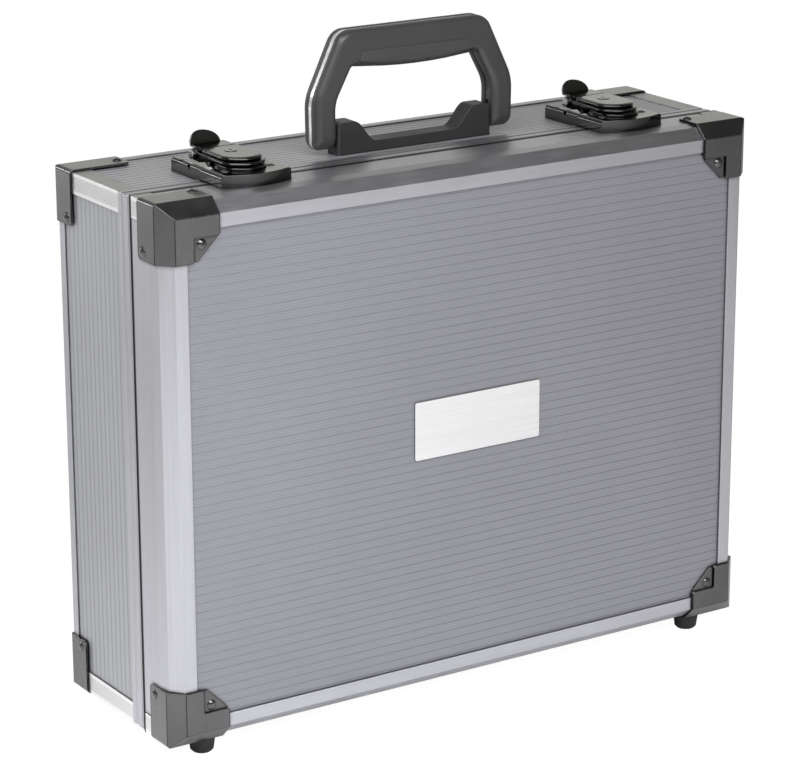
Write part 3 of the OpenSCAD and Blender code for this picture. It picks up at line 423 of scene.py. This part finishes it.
# The latches take painted shade from pieces up to 7 mm off, which darkens the hollows between their
# plates.
FINISHES["latch_metal"] = coated("latch plating", (0.040, 0.040, 0.039), 0.18, 0.5 * MM,
                                 (0.30, 0.30, 0.29), reach=7 * MM)
FINISHES["rivet"] = coated("rivet plating", (0.10, 0.10, 0.10), 0.22, 0.4 * MM,
                           (0.3, 0.3, 0.3), metallic=0.9)
FINISHES["hinge_steel"] = coated("hinge plating", (0.20, 0.20, 0.20), 0.35, 0.4 * MM,
                                 (0.4, 0.4, 0.4), coat=0.0)
FINISHES["steel_pin"] = coated("turned steel", (0.50, 0.50, 0.51), 0.25, 0.3 * MM,
                               (0.7, 0.7, 0.7), coat=0.0)
print("finishes so far:", list(FINISHES))

# %% [markdown]
# ## Moulded plastic and rubber
#
# The handle is moulded with a fine satin texture, the pad and the feet are rubber. A moulded
# texture is tiny noise in the bump, and the gloss changes a little where hands polish it, which is
# a broad noise in the roughness. Edges are rubbed lighter.


# %% Plastics
def moulded(name, color, rough, texture=900, depth=0.02, radius=0.8 * MM):
    """Satin plastic: fine mould texture, soft edges and a broad change of gloss."""
    made = Finish(name, color, metallic=0.0, roughness=rough)
    grain = made.noise(texture, 3.0)
    cloud = made.noise(22)
    edge_mark = made.math("MULTIPLY", rounded_edge_mask(made, radius), 0.35)
    tone = made.mix(made.spread(cloud, 0.0, 1.0), shade(color, 0.93), shade(color, 1.08))
    made.set("Base Color", made.mix(edge_mark, tone, shade(color, 1.8)))
    made.set("Roughness", made.spread(cloud, rough - 0.05, rough + 0.07))
    made.set("Normal", made.bump(grain, depth * MM, 0.5, Normal=soft_edges(made, radius)))
    return made


FINISHES["handle_plastic"] = {
    "grip": moulded("handle plastic", (0.042, 0.042, 0.043), 0.38),
    "base": moulded("handle base plastic", (0.020, 0.020, 0.021), 0.44),
}
FINISHES["grip_pad"] = moulded("grip pad rubber", (0.042, 0.042, 0.044), 0.50, 600, 0.05)
FINISHES["foot_rubber"] = moulded("foot rubber", (0.022, 0.022, 0.022), 0.6, 700, 0.05)
print("plastics:", list(FINISHES["handle_plastic"]), "and two rubbers")

# %% [markdown]
# ## The strip in the handle
#
# Between the handle's two shells lies a core whose outward edge is plated bright, while its inward
# edge, toward the fingers, is bare plastic. One solid carries both, so the finish tells them apart:
# an edge faces inward where its place along X and its normal's X have opposite signs.


# %% Plated strip
def plated_strip(name, color, bare):
    """Bright plating where the face looks away from the handle's middle, bare plastic elsewhere."""
    made = moulded(name, color, 0.22, 500, 0.01, 0.3 * MM)
    made.set("Metallic", 0.6)
    facing = own_axis(made, flat_normal(made), "X")
    outward = made.math("MULTIPLY", made.math("MULTIPLY", made.axis("X"), 50.0), facing)
    plated = made.spread(outward, 0.0, 1.0, -0.5, -0.1)
    bright = made.mix(made.spread(made.noise(90), 0.0, 1.0), shade(color, 0.75), color)
    made.set("Base Color", made.mix(plated, bare, bright))
    return made


FINISHES["handle_strip"] = plated_strip("handle strip", (0.88, 0.88, 0.90), (0.03, 0.03, 0.031))
print("strip finish:", FINISHES["handle_strip"].material.name)

# %% [markdown]
# ## Name plate
#
# The plate is bare brushed aluminium and the brightest thing on the case. A new finish could be
# made for it, but the profile's finish in a lighter colour and less metallic gives the same grain.

# %% Name plate
FINISHES["name_plate"] = aluminium("name plate", "X", (0.90, 0.90, 0.92), 0.34, 0.7)
print("plate finish:", FINISHES["name_plate"].material.name)

# %% [markdown]
# ## Knurled angles
#
# The angles over the edges that run from front to back carry a fine diamond knurl on the leg that
# lies on the side of the case, between plain borders. The leg on the top or the bottom is plain,
# and its colour is painted darker as shade. The knurl is two sets of triangle waves that cross,
# multiplied into small pyramids with painted shade in the hollows between them: real ones would
# cost thousands of faces for a pattern of two millimetres. A band along the seam and the creases
# get painted shade as well. The distance in from the edge picks the strip and the normal picks the
# leg, so one finish serves all the angles.

# %% Knurl
KNURL_STRIP = ((2.0 * MM, 2.3 * MM), (11.4 * MM, 11.7 * MM))
KNURL_SEAM_SHADE_BAND = (2.0 * MM, 2.6 * MM)


def knurl_strip(finish, plain):
    """1 on the knurled strip of a side leg. The distance in along a leg is the larger of the ways
    in from the shell's side and from its top or bottom, and plain is 1 on a level leg."""
    in_x = finish.math("SUBTRACT", shell_side, finish.math("ABSOLUTE", finish.axis("X")))
    from_middle = finish.math("ABSOLUTE", finish.math("SUBTRACT", finish.axis("Z"), front_centre.z))
    in_z = finish.math("SUBTRACT", shell_top - front_centre.z, from_middle)
    along_leg = finish.math("MAXIMUM", in_x, in_z)
    begun = finish.spread(along_leg, 0.0, 1.0, *KNURL_STRIP[0])
    not_ended = finish.spread(along_leg, 1.0, 0.0, *KNURL_STRIP[1])
    strip = finish.math("MULTIPLY", begun, not_ended)
    return finish.math("MULTIPLY", strip, finish.math("SUBTRACT", 1.0, plain))


def knurled(name, color, pitch):
    """Knurl: two crossing triangle waves along the diagonals of the leg, used as a height."""
    made = Finish(name, color, metallic=1.0, roughness=0.4)
    level = made.math("ABSOLUTE", own_axis(made, flat_normal(made), "Z"))
    plain = made.spread(level, 0.0, 1.0, 0.75, 0.85)
    strip = knurl_strip(made, plain)
    y = made.axis("Y")
    across = made.math("ADD", made.axis("X"), made.axis("Z"))
    turns = [made.math("DIVIDE", made.math(way, across, y), pitch) for way in ("ADD", "SUBTRACT")]
    waves = [made.math("PINGPONG", turn_count, 0.5) for turn_count in turns]
    points = made.math("MULTIPLY", made.math("MULTIPLY", *waves), 4.0)
    raised = made.spread(points, 0.0, 1.0, 0.02, 0.30)
    # Painted shade: the hollows between the pyramids are darker.
    knurl = made.mix(raised, shade(color, 0.62), shade(color, 1.06))
    # Painted shade: the level leg is darker than the side's plain borders.
    border_and_painted_level_shade = made.mix(plain, shade(color, 1.08), shade(color, 0.55))
    # Painted shade along the seam and in creases.
    unshaded = made.math("MULTIPLY", outside_seam_shade(made, *KNURL_SEAM_SHADE_BAND), creases(made, 2 * MM, 0.3))
    made.set("Base Color", made.mix(unshaded, PAINTED_SHADE_COLOR, made.mix(strip, border_and_painted_level_shade, knurl)))
    made.set("Roughness", made.spread(made.noise(60, 2.0), 0.34, 0.46))
    height = made.math("MULTIPLY", points, strip)
    made.set("Normal", made.bump(height, 0.15 * MM, 0.8))
    return made


FINISHES["edge_angle"] = knurled("knurled angle", (0.92, 0.92, 0.93), 2.3 * MM)
print("slots with a finish:", len(FINISHES))

# %% [markdown]
# ## Giving each node its finish
#
# The record says which slot each node takes. Each node is one mesh of one stuff, so it needs a
# single material. Where one slot has several finishes, the node's name says which one it takes: by
# the way a rail or a sheet runs, or by the piece of the handle.


# %% Assign finishes
def finish_for(slot, node):
    """The finish of a slot, picked by the node's name where the slot has several."""
    made = FINISHES[slot]
    if isinstance(made, Finish):
        return made
    if slot == "profile_aluminium":
        return made["level" if node.endswith(("top", "bottom")) else "upright"]
    if slot == "handle_plastic":
        return made["base" if node == "handle_base" else "grip"]
    if "back" in node:
        return made["back"]
    return made["level" if "top" in node or "bottom" in node else "upright"]


for entry in frame["record"]["subparts"]:
    mesh = frame["nodes"][entry["node"]].data
    mesh.materials.clear()
    mesh.materials.append(finish_for(entry["material_slot"], entry["node"]).material)

# %% [markdown]
# ## A grid of points as a surface
#
# The small pieces that follow are surfaces of revolution and profiles carried along paths. Each is
# worked out as a whole array of points, rows along one parameter and columns along the other, and
# these functions join neighbouring points into four-sided faces and put them into an object. Places
# go into the mesh and the object stays at the origin, as with the CAD nodes.


# %% Grids to meshes
def grid_faces(rows, columns, closed_rows=False):
    """Faces between neighbouring points of a rows x columns grid whose last column meets the first;
    closed_rows also joins the last row to the first."""
    first_rows = np.arange(rows if closed_rows else rows - 1)
    i, j = np.meshgrid(first_rows, np.arange(columns), indexing="ij")
    below, beside = (i + 1) % rows, (j + 1) % columns
    corners = [i * columns + j, i * columns + beside, below * columns + beside, below * columns + j]
    return np.stack(corners, axis=-1).reshape(-1, 4)


def close_and_turn(mesh):
    """Merges points that coincide, as at a pole, which closes the surface there, and turns the
    faces outward. Returns how many edges are still open."""
    work = bmesh.new()
    work.from_mesh(mesh)
    bmesh.ops.remove_doubles(work, verts=work.verts, dist=0.001 * MM)
    bmesh.ops.recalc_face_normals(work, faces=work.faces)
    open_edges = sum(not edge.is_manifold for edge in work.edges)
    work.to_mesh(mesh)
    work.free()
    return open_edges


def add_piece(name, parts, finish, body):
    """One object from several (points, faces) parts, in metres in the case's frame."""
    counts = np.cumsum([0] + [len(points) for points, _ in parts])
    points = np.concatenate([points for points, _ in parts])
    faces = np.concatenate([faces + start for (_, faces), start in zip(parts, counts)])
    mesh = bpy.data.meshes.new(name)
    mesh.from_pydata(points.tolist(), [], faces.tolist())
    open_edges = close_and_turn(mesh)
    mesh.validate()
    mesh.materials.append(finish.material)
    mesh.polygons.foreach_set("use_smooth", np.full(len(mesh.polygons), True))
    mesh.update()
    made = bpy.data.objects.new(name, mesh)
    bpy.context.scene.collection.objects.link(made)
    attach(made, body)
    print(name, "faces:", len(mesh.polygons), "open edges:", open_edges, "on", body)


print("faces of a 3 x 4 grid:", len(grid_faces(3, 4)))

# %% [markdown]
# ## Rolled rims on the latches
#
# The key plate, the hasp and the nose of the catch plate are pressed from thin sheet whose rim is
# rolled over, and these small rolls are what shines on a dark latch. A roll is a round profile
# carried along the plate's outline: two straight sides and an elliptical nose. A curve object with
# a bevel would give much the same, but a mesh worked out from arrays can close its ends to a point.


# %% Outline and roll
def rim_path(half, back, front, depth, steps=40, side_steps=8):
    """A plate's outline from one back corner round the nose to the other: straight down each side,
    then minus half times the cosine across and front plus depth times one minus the sine along."""
    angle = np.linspace(0, math.pi, steps)
    nose = np.stack([-half * np.cos(angle), front + depth * (1 - np.sin(angle))], axis=1)
    reach = np.linspace(back, front + depth, side_steps, endpoint=False)
    left = np.stack([np.full(side_steps, -half), reach], axis=1)
    right = np.stack([np.full(side_steps, half), reach[::-1]], axis=1)
    return np.concatenate([left, nose, right])


def roll(path, height, radius, sides=14):
    """A tube along a level path: each point moves by radius times the cosine along the outward
    normal and radius times the sine upward. The last rings shrink to a point, and so the ends are
    rounded and closed."""
    run = np.gradient(path, axis=0)
    run /= np.linalg.norm(run, axis=1)[:, None]
    outward = np.stack([run[:, 1], -run[:, 0]], axis=1)
    ends = np.concatenate([[0.0, 0.6, 0.9], np.ones(len(path) - 6), [0.9, 0.6, 0.0]])
    angle = np.linspace(0, 2 * math.pi, sides, endpoint=False)
    across = (radius * ends)[:, None] * np.cos(angle)[None, :]
    x = path[:, 0, None] + outward[:, 0, None] * across
    y = path[:, 1, None] + outward[:, 1, None] * across
    z = height + (radius * ends)[:, None] * np.sin(angle)[None, :]
    return np.stack([x, y, z], axis=-1).reshape(-1, 3), grid_faces(len(path), sides)


print("points along a rim:", len(rim_path(1.0, 2.0, 0.0, 1.0)))

# %% Rolled rims
latch_x = round(middle("latch_base_right").x / MM, 1)
latch_origin = np.array([0.0, seam_y / MM, shell_top / MM])
# half width, back end, front end and depth of the nose, height over the shell, radius, body
RIMS = {
    "key_plate_rim": (12.8, 30.6, -5.6, 11.6, 14.1, 1.35, "hasp"),
    "hasp_rim": (14.2, 19.6, -9.1, 12.6, 11.45, 1.15, "hasp"),
    "catch_nose_rim": (13.9, 12.4, -11.2, 11.7, 8.85, 0.7, "lid"),
}
for name, (half, back, front, depth, height, radius, body) in RIMS.items():
    for side, sign in (("left", -1), ("right", 1)):
        points, faces = roll(rim_path(half, back, front, depth), height, radius)
        points = (points + latch_origin + [sign * latch_x, 0, 0]) * MM
        owner = body if body == "lid" else f"{body}_{side}"
        finish = FINISHES["latch_metal"]
        add_piece(f"{name}_{side}", [(points, faces)], finish, owner)

# %% [markdown]
# ## Seal in the seam
#
# Lid and body meet on a thin black sealing strip that keeps dust out, and it is what makes the seam
# read as a dark line all round the case. A dark finish alone would not close the view into the
# case. It is one closed strip: a small rounded profile carried along a rectangle with rounded
# corners.


# %% A closed path and a profile on it
def rounded_rectangle(half_width, low, high, radius, steps=7):
    """Points and outward directions round a rectangle: at each corner the centre plus radius times
    the cosine and sine of an angle that turns a quarter; straight runs join the corners."""
    quarter = np.linspace(0, math.pi / 2, steps)
    centres = [(half_width - radius, high - radius), (radius - half_width, high - radius),
               (radius - half_width, low + radius), (half_width - radius, low + radius)]
    angle = np.concatenate([quarter + math.pi / 2 * k for k in range(4)])
    centre = np.repeat(np.array(centres), steps, axis=0)
    outward = np.stack([np.cos(angle), np.sin(angle)], axis=1)
    return centre + radius * outward, outward


def squared_circle(half_width, half_height, count=16):
    """A rounded rectangle as one curve: each half size times the square root of the cosine or sine,
    with its sign kept."""
    angle = np.linspace(0, 2 * math.pi, count, endpoint=False)
    across, up = np.cos(angle), np.sin(angle)
    return np.stack([half_width * np.sign(across) * np.abs(across) ** 0.5,
                     half_height * np.sign(up) * np.abs(up) ** 0.5], axis=1)


def carried(path, outward, profile):
    """A closed profile of (outward, depth) rows carried round a closed path in the XZ plane: each
    point is the path's point plus its outward direction times the profile's first number."""
    reach = profile[:, 0][None, :]
    x = path[:, 0, None] + outward[:, 0, None] * reach
    z = path[:, 1, None] + outward[:, 1, None] * reach
    y = np.repeat(profile[:, 1][None, :], len(path), axis=0)
    return np.stack([x, y, z], axis=-1).reshape(-1, 3), grid_faces(len(path), len(profile), True)


print("points round the strip's profile:", len(squared_circle(1.0, 1.0)))

# %% Seal
SEAL_INSET, SEAL_CORNER = 1.1, 5.0
SEAL_HALF_WIDTH, SEAL_HALF_THICKNESS = 1.0, 0.6
seal_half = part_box("rim_bottom")[1].x / MM - SEAL_INSET
seal_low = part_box("lid_rail_bottom")[0].z / MM + SEAL_INSET
seal_high = shell_top / MM - SEAL_INSET
path, outward = rounded_rectangle(seal_half, seal_low, seal_high, SEAL_CORNER)
# the minus runs the profile the other way round, so that its faces look outward
seal_profile = squared_circle(SEAL_HALF_WIDTH, -SEAL_HALF_THICKNESS) + [0, seam_y / MM]
points, faces = carried(path, outward, seal_profile)
add_piece("seam_seal", [(points * MM, faces)], FINISHES["foot_rubber"], "body_shell")

# %% [markdown]
# ## Screws in the feet
#
# Each rubber foot is held by a screw whose head sits in a hole in the middle. The head is a dome
# with a socket: a profile of radius and height turned about the screw's axis. The Screw modifier
# could turn it too, but the same few lines of arrays as for the other pieces keep it one mesh.


# %% Turned forms
def turned(profile, sides=28):
    """A profile of (radius, height) rows turned about the Z axis.

    Point (i, j) is radius i times the cosine and sine of angle j, at height i. At a pole all points
    of a row coincide, and add_piece merges them.
    """
    radius = profile[:, 0]
    angle = np.linspace(0, 2 * math.pi, sides, endpoint=False)
    x = radius[:, None] * np.cos(angle)[None, :]
    y = radius[:, None] * np.sin(angle)[None, :]
    z = np.repeat(profile[:, 1][:, None], sides, axis=1)
    return np.stack([x, y, z], axis=-1).reshape(-1, 3), grid_faces(len(profile), sides)


# %% Foot screws
SCREW = np.array([(0.0, 2.35), (0.9, 2.35), (0.95, 1.25), (1.5, 1.05),
                  (2.05, 1.35), (2.35, 1.9), (2.4, 2.6), (0.0, 2.6)])
for node, body in (("lid_feet", "lid"), ("body_feet", "body_shell")):
    low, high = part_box(node)
    centre_y = (low.y + high.y) / 2 / MM
    foot_x = (high.x - (high.y - low.y) / 2) / MM
    parts = []
    for x in (-foot_x, foot_x):
        points, faces = turned(SCREW * MM)
        parts.append((points + np.array([x, centre_y, 0]) * MM, faces))
    add_piece(node.replace("feet", "foot_screws"), parts, FINISHES["steel_pin"], body)

# %% [markdown]
# ## A floor that is white to the camera
#
# The photograph was cut out on white: there is no floor in it, only the case. The floor here is
# white paper. To the camera it also glows, just enough to reach white, and it keeps a faint shadow.
# To every other ray it is plain lit paper, so metal mirrors a real floor with its light and shade,
# which a shadow catcher or a plain white plane would not give.

# %% Floor
PAPER_COLOR = (0.80, 0.80, 0.80)
PAPER_GLOW, GLOW_SHARE = 1.2, 0.80
FLOOR_HALF = 30

floor_mesh = bpy.data.meshes.new("floor")
floor_corners = FLOOR_HALF * np.array([(-1, -1, 0), (1, -1, 0), (1, 1, 0), (-1, 1, 0)])
floor_mesh.from_pydata(floor_corners.tolist(), [], [(0, 1, 2, 3)])
floor = bpy.data.objects.new("floor", floor_mesh)
bpy.context.scene.collection.objects.link(floor)

paper = Finish("white paper", PAPER_COLOR, roughness=0.9)
ray = paper.node("ShaderNodeLightPath")
glow = paper.node("ShaderNodeEmission", Strength=PAPER_GLOW)
shown = paper.math("MAXIMUM", ray.outputs["Is Camera Ray"], ray.outputs["Is Transmission Ray"])
share = paper.math("MULTIPLY", shown, GLOW_SHARE)
blend = paper.node("ShaderNodeMixShader", i0=share, i1=paper.shader.outputs[0], i2=glow.outputs[0])
output = paper.tree.nodes["Material Output"]
paper.tree.links.new(blend.outputs[0], output.inputs["Surface"])
floor_mesh.materials.append(paper.material)
print("floor of", 2 * FLOOR_HALF, "m on the stage:", floor.name)

# %% [markdown]
# ## The room round the case
#
# The world is white to the camera. To light and to mirrors it is a dim room, since metal shows what
# stands round it: lighter low behind the case to the right, which its top faces mirror, and darker
# overhead, which the chamfers mirror. A picture of a real room could stand here, but a few nodes
# give the same shades: the closeness of a direction to one heading and its height give the level,
# with smooth steps between.

# %% World
HEADING = (0.50, 0.82, 0.27)
HEADING_STEP, OVERHEAD_STEP = (0.45, 1.0), (0.30, 0.75)
ROOM_LEVEL, HEADING_LEVEL, OVERHEAD = 0.25, 0.62, 0.42
ROOM_TINT, WHITE = (1.0, 0.985, 0.93, 1.0), (1.0, 1.0, 1.0, 1.0)

world = bpy.data.worlds.new("studio")
world.use_nodes = True
bpy.context.scene.world = world
sky = world.node_tree


def smooth_step(value, start, end, low, high):
    """Maps start..end of a value to low..high with a smooth start and end."""
    made = add_node(sky, "ShaderNodeMapRange", {"interpolation_type": "SMOOTHSTEP"},
                    i0=value, i1=start, i2=end, i3=low, i4=high)
    return made.outputs[0]


direction = add_node(sky, "ShaderNodeTexCoord").outputs["Generated"]
height = add_node(sky, "ShaderNodeSeparateXYZ", i0=direction).outputs["Z"]
dot = {"operation": "DOT_PRODUCT"}
closeness = add_node(sky, "ShaderNodeVectorMath", dot, i0=direction, i1=HEADING).outputs["Value"]
toward = smooth_step(closeness, *HEADING_STEP, ROOM_LEVEL, HEADING_LEVEL)
overhead = smooth_step(height, *OVERHEAD_STEP, 1.0, OVERHEAD)
room = add_node(sky, "ShaderNodeMath", {"operation": "MULTIPLY"}, i0=toward, i1=overhead)
ray = add_node(sky, "ShaderNodeLightPath").outputs
shown = add_node(sky, "ShaderNodeMath", {"operation": "MAXIMUM"},
                 i0=ray["Is Camera Ray"], i1=ray["Is Transmission Ray"]).outputs[0]
level = add_node(sky, "ShaderNodeMix", {"data_type": "FLOAT"}, i0=shown, i2=room.outputs[0], i3=1.0)
tint = add_node(sky, "ShaderNodeMix", {"data_type": "RGBA"}, i0=shown, i6=ROOM_TINT, i7=WHITE)
background = sky.nodes["Background"]
sky.links.new(level.outputs[0], background.inputs["Strength"])
sky.links.new(tint.outputs[2], background.inputs["Color"])
print("room levels:", ROOM_LEVEL, HEADING_LEVEL, "overhead times", OVERHEAD)

# %% [markdown]
# ## Two soft lamps
#
# Both lamps are large rectangles that hang over the floor and face down, so they light the case and
# the floor that it mirrors. Small lamps would throw hard shadows and sharp glints, and the
# photograph has neither. The key is a long strip in front of the case and a little to the left. The
# weaker lamp hangs far behind on the left, so that the lit floor under it shows in the side of the
# case.


# %% Lamps
def lamp(name, place, turn_degrees, size, power):
    """A rectangular area lamp that faces down, its long side turned about the vertical."""
    data = bpy.data.lights.new(name, "AREA")
    data.shape = "RECTANGLE"
    data.size, data.size_y = size
    data.energy = power
    made = bpy.data.objects.new(name, data)
    made.location = place
    made.rotation_euler = (0, 0, math.radians(turn_degrees))
    bpy.context.scene.collection.objects.link(made)
    print(name, "at", place, "with", power, "W")


lamp("key lamp", (-0.29, -1.13, 1.15), -58, (2.6, 0.8), 44)
lamp("back lamp", (-1.50, 2.20, 0.95), 60, (1.2, 0.7), 26)

# %% Colours as they are
bpy.context.scene.view_settings.view_transform = "Standard"
print("view transform:", bpy.context.scene.view_settings.view_transform)

# %% [markdown]
# ## Size
#
# The dressed case must keep the size of the solid one.
